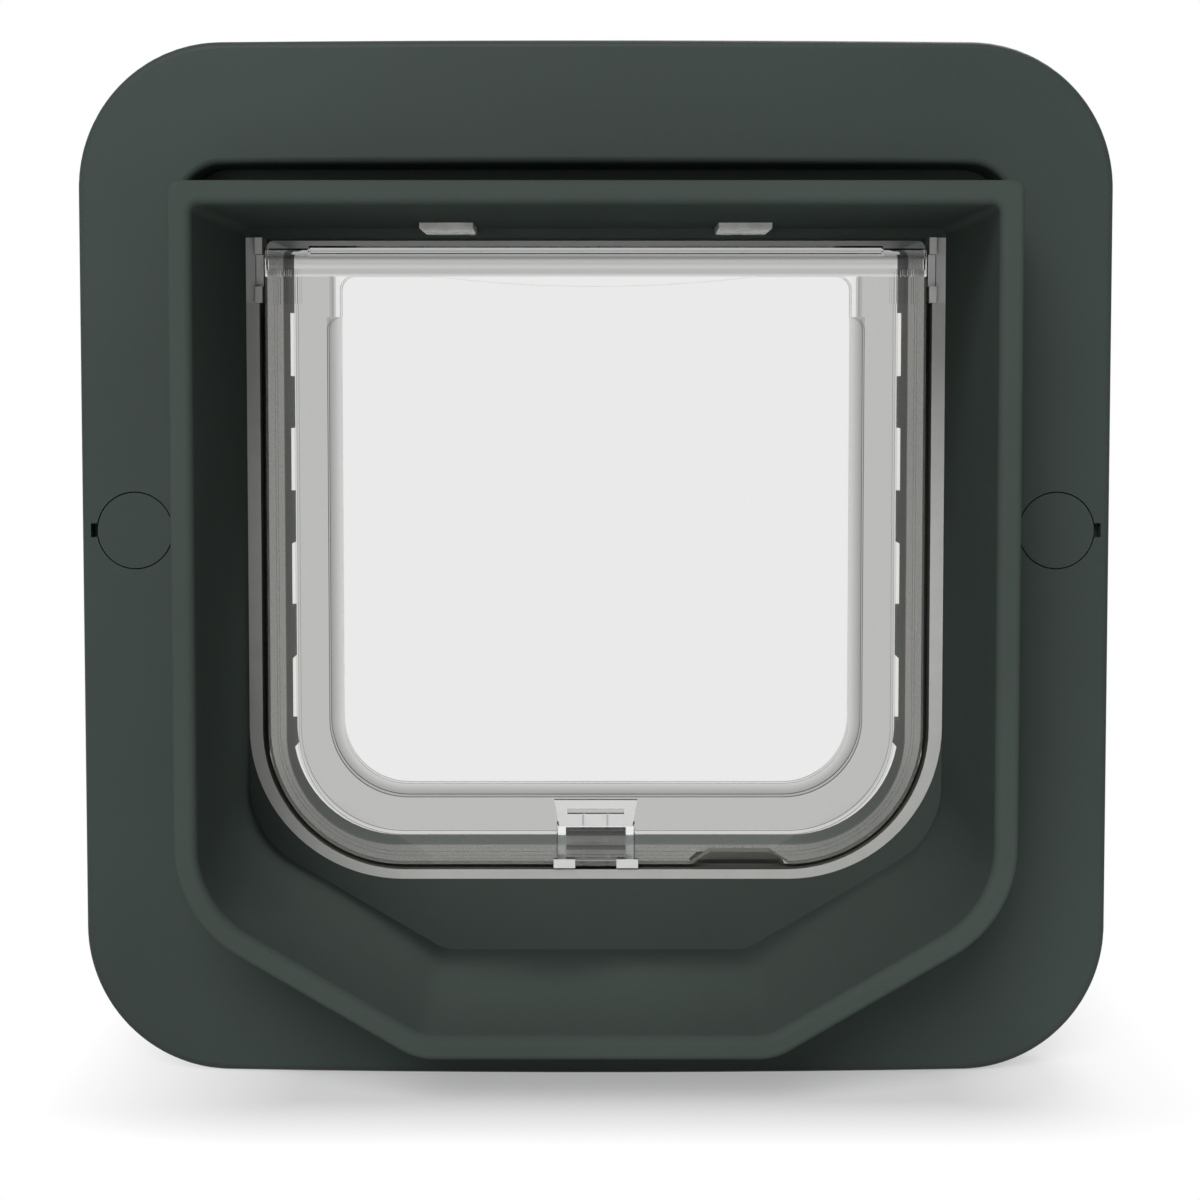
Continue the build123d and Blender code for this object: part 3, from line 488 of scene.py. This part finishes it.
def wind_thread(name, x, z, start, end):
    """Closed mesh of a ridge that climbs round a shank along Y."""
    steps = int((end - start) / THREAD_PITCH * TURN_STEPS)
    profile = ((-THREAD_WIDTH / 2, 0.0), (0.0, THREAD_HEIGHT), (THREAD_WIDTH / 2, 0.0))
    points = []
    for step in range(steps + 1):
        turn = step / TURN_STEPS
        angle = 2.0 * math.pi * turn
        for along, out in profile:
            radius = SHANK_RADIUS - THREAD_SINK + out
            points.append((x + radius * math.cos(angle), start + turn * THREAD_PITCH + along,
                           z + radius * math.sin(angle)))
    faces = [(0, 1, 2), (3 * steps + 2, 3 * steps + 1, 3 * steps)]
    for step in range(steps):
        near, far = 3 * step, 3 * step + 3
        for side in range(3):
            other = (side + 1) % 3
            faces.append((near + other, near + side, far + side, far + other))
    mesh = bpy.data.meshes.new(name)
    mesh.from_pydata(points, [], faces)
    mesh.materials.append(zinc)
    thread = bpy.data.objects.new(name, mesh)
    bpy.context.scene.collection.objects.link(thread)
    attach(thread, "housing")
    return thread


screw_low, screw_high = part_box("fixing_screws")
head_radius = (screw_high.z - screw_low.z) / 2
gap_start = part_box("outer_frame")[1].y + THREAD_END
gap_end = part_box("housing_back_plate")[0].y - THREAD_END
for name, x in (("left", screw_low.x + head_radius), ("right", screw_high.x - head_radius)):
    thread = wind_thread("screw_thread_" + name, x, screw_low.z + head_radius, gap_start, gap_end)
    print(thread.name, "faces:", len(thread.data.polygons))


# %% Board and cells
CELL_BAND = 38.0 * MM


def solder_mask():
    """Green lacquer over the weave of the board."""
    material, graph, shader, place = make_material("solder_mask")
    weave = noise(graph, place, 500.0, 2.0)
    put(graph, shader.inputs["Base Color"],
        blend(graph, spread(graph, weave, 0.0, 1.0), (0.012, 0.075, 0.035, 1.0), (0.020, 0.11, 0.05, 1.0)))
    put(graph, shader.inputs["Roughness"], spread(graph, weave, 0.22, 0.34))
    bump(graph, shader, weave, 0.1, 0.00004)
    return material


def cell_sleeve():
    """Shrink sleeve in plain dark grey, paler at the outer ends of the cells."""
    material, graph, shader, place = make_material("cell_sleeve")
    split = graph.nodes.new("ShaderNodeSeparateXYZ")
    put(graph, split.inputs[0], place)
    across = math_node(graph, "ABSOLUTE", split.outputs["X"])
    band = math_node(graph, "GREATER_THAN", across, CELL_BAND)
    wrinkle = noise(graph, place, 160.0, 3.0)
    sleeve = blend(graph, spread(graph, wrinkle, 0.0, 1.0),
                   (0.035, 0.038, 0.045, 1.0), (0.05, 0.054, 0.062, 1.0))
    put(graph, shader.inputs["Base Color"], blend(graph, band, sleeve, (0.30, 0.31, 0.32, 1.0)))
    put(graph, shader.inputs["Roughness"], spread(graph, wrinkle, 0.22, 0.36))
    bump(graph, shader, wrinkle, 0.08, 0.0001)
    return material


dress(solder_mask(), "circuit_board")
dress(cell_sleeve(), "batteries")

# %% [markdown]
# ## Camera
# The photograph is taken square on, a little above the middle, from about half a metre. The lens and the
# distance set how much the tunnel's rim swells in front of the plate. A level camera would need a large
# shift to look down on the flap's lower part, so most of that is a slight tilt and the rest a shift.

# %% Place the camera
CAMERA_PLACE = Vector((0.0, -0.4643, 0.1414))
CAMERA_TILT = 2.9719
LENS = 63.962
SHIFT = (0.0035, -0.0885)

camera_data = bpy.data.cameras.new("camera")
camera_data.lens = LENS
camera_data.sensor_width = 36.0
camera_data.shift_x, camera_data.shift_y = SHIFT
camera_data.clip_start = 0.01
camera = bpy.data.objects.new("camera", camera_data)
camera.location = CAMERA_PLACE
camera.rotation_euler = (math.radians(90.0 - CAMERA_TILT), 0.0, 0.0)
bpy.context.scene.collection.objects.link(camera)
bpy.context.scene.camera = camera
print("camera at", [round(value, 4) for value in camera.location])

# %% [markdown]
# ## Studio
# Soft light comes from the upper left in front, with a weaker fill and a lamp behind. The background is
# white only for rays that look at it, straight or through the clear plastic, and for reflections towards
# the room, so it lights the mouldings no more than a plain studio would. The floor keeps the object's
# shadow near it and fades to the same white further out. No lamp shows through the flap, and neither the
# fill nor the floor is mirrored in it, because a lamp's disc or a horizon would spoil the clear window.

# %% White world
world = bpy.data.worlds.new("studio")
bpy.context.scene.world = world
world.use_nodes = True
sky = world.node_tree
light_path = sky.nodes.new("ShaderNodeLightPath")
AMBIENT = 0.14


def seen_directly(graph, path):
    """1 for rays that show the background, straight or through clear plastic, not for light on a wall."""
    seen = math_node(graph, "MAXIMUM", path.outputs["Is Camera Ray"], path.outputs["Is Transmission Ray"])
    unscattered = math_node(graph, "LESS_THAN", path.outputs["Diffuse Depth"], 0.5)
    return math_node(graph, "MULTIPLY", seen, unscattered)


direction = sky.nodes.new("ShaderNodeSeparateXYZ")
put(sky, direction.inputs[0], sky.nodes.new("ShaderNodeTexCoord").outputs["Generated"])
indoors = spread(sky, direction.outputs["Y"], 0.0, 1.0, 0.2, 0.6)
mirrored = math_node(sky, "MULTIPLY", light_path.outputs["Is Glossy Ray"], indoors)
white = math_node(sky, "MAXIMUM", seen_directly(sky, light_path), mirrored)
strength = math_node(sky, "MAXIMUM", white, AMBIENT)
put(sky, sky.nodes["Background"].inputs["Color"], (1.0, 1.0, 1.0, 1.0))
put(sky, sky.nodes["Background"].inputs["Strength"], strength)
bpy.context.scene.view_settings.view_transform = "Standard"


# %% Lamps
def soft_lamp(name, place, aim, size, watts):
    """Round area lamp that isn't seen through clear plastic."""
    data = bpy.data.lights.new(name, "AREA")
    data.shape = "DISK"
    data.size = size
    data.energy = watts
    lamp = bpy.data.objects.new(name, data)
    lamp.location = place
    lamp.rotation_euler = (Vector(aim) - Vector(place)).to_track_quat("-Z", "Y").to_euler()
    lamp.visible_transmission = False
    bpy.context.scene.collection.objects.link(lamp)
    return lamp


soft_lamp("key", (-0.65, -2.4, 2.0), (0.0, 0.0, 0.11), 1.9, 57.0)
fill = soft_lamp("fill", (-0.8, -2.5, 0.2), (0.0, 0.0, 0.1), 1.4, 12.0)
fill.visible_glossy = False
soft_lamp("back", (0.5, 0.9, 1.5), (0.0, 0.0, 0.1), 0.9, 14.0)

# %% Floor
FLOOR_HALF = 3.0
FLOOR_DROP = 0.2 * MM
SHADOW_HALF = (0.065, 0.050)
SHADOW_SIDE = 0.006
SHADOW_REACH = (0.050, 0.025)
FLOOR_GLOW = 0.35

floor_mesh = bpy.data.meshes.new("floor")
corners = [(x * FLOOR_HALF, y * FLOOR_HALF, -FLOOR_DROP) for x, y in ((-1, -1), (1, -1), (1, 1), (-1, 1))]
floor_mesh.from_pydata(corners, [], [(0, 1, 2, 3)])
floor = bpy.data.objects.new("floor", floor_mesh)
bpy.context.scene.collection.objects.link(floor)
floor_paint, graph, shader, place = make_material("floor_paint")
put(graph, shader.inputs["Base Color"],
    blend(graph, noise(graph, place, 30.0), (0.90, 0.90, 0.90, 1.0), (0.93, 0.93, 0.93, 1.0)))
shader.inputs["Roughness"].default_value = 0.7
shader.inputs["Specular IOR Level"].default_value = 0.0
split = graph.nodes.new("ShaderNodeSeparateXYZ")
put(graph, split.inputs[0], place)
square = 0.0
for axis, middle, half, reach in zip("XY", (SHADOW_SIDE, 0.0), SHADOW_HALF, SHADOW_REACH):
    across = math_node(graph, "ABSOLUTE", math_node(graph, "SUBTRACT", split.outputs[axis], middle))
    past = math_node(graph, "DIVIDE", math_node(graph, "SUBTRACT", across, half), reach)
    past_square = math_node(graph, "POWER", math_node(graph, "MAXIMUM", past, 0.0), 2.0)
    square = math_node(graph, "ADD", past_square, square)
away = spread(graph, math_node(graph, "SQRT", square), FLOOR_GLOW, 1.0, 0.0, 1.0)
glow = graph.nodes.new("ShaderNodeEmission")
glow.inputs["Strength"].default_value = 1.0
fade = graph.nodes.new("ShaderNodeMixShader")
shown = seen_directly(graph, graph.nodes.new("ShaderNodeLightPath"))
put(graph, fade.inputs[0], math_node(graph, "MULTIPLY", away, shown))
graph.links.new(shader.outputs[0], fade.inputs[1])
graph.links.new(glow.outputs[0], fade.inputs[2])
graph.links.new(fade.outputs[0], graph.nodes["Material Output"].inputs["Surface"])
floor_mesh.materials.append(floor_paint)
floor.visible_glossy = False
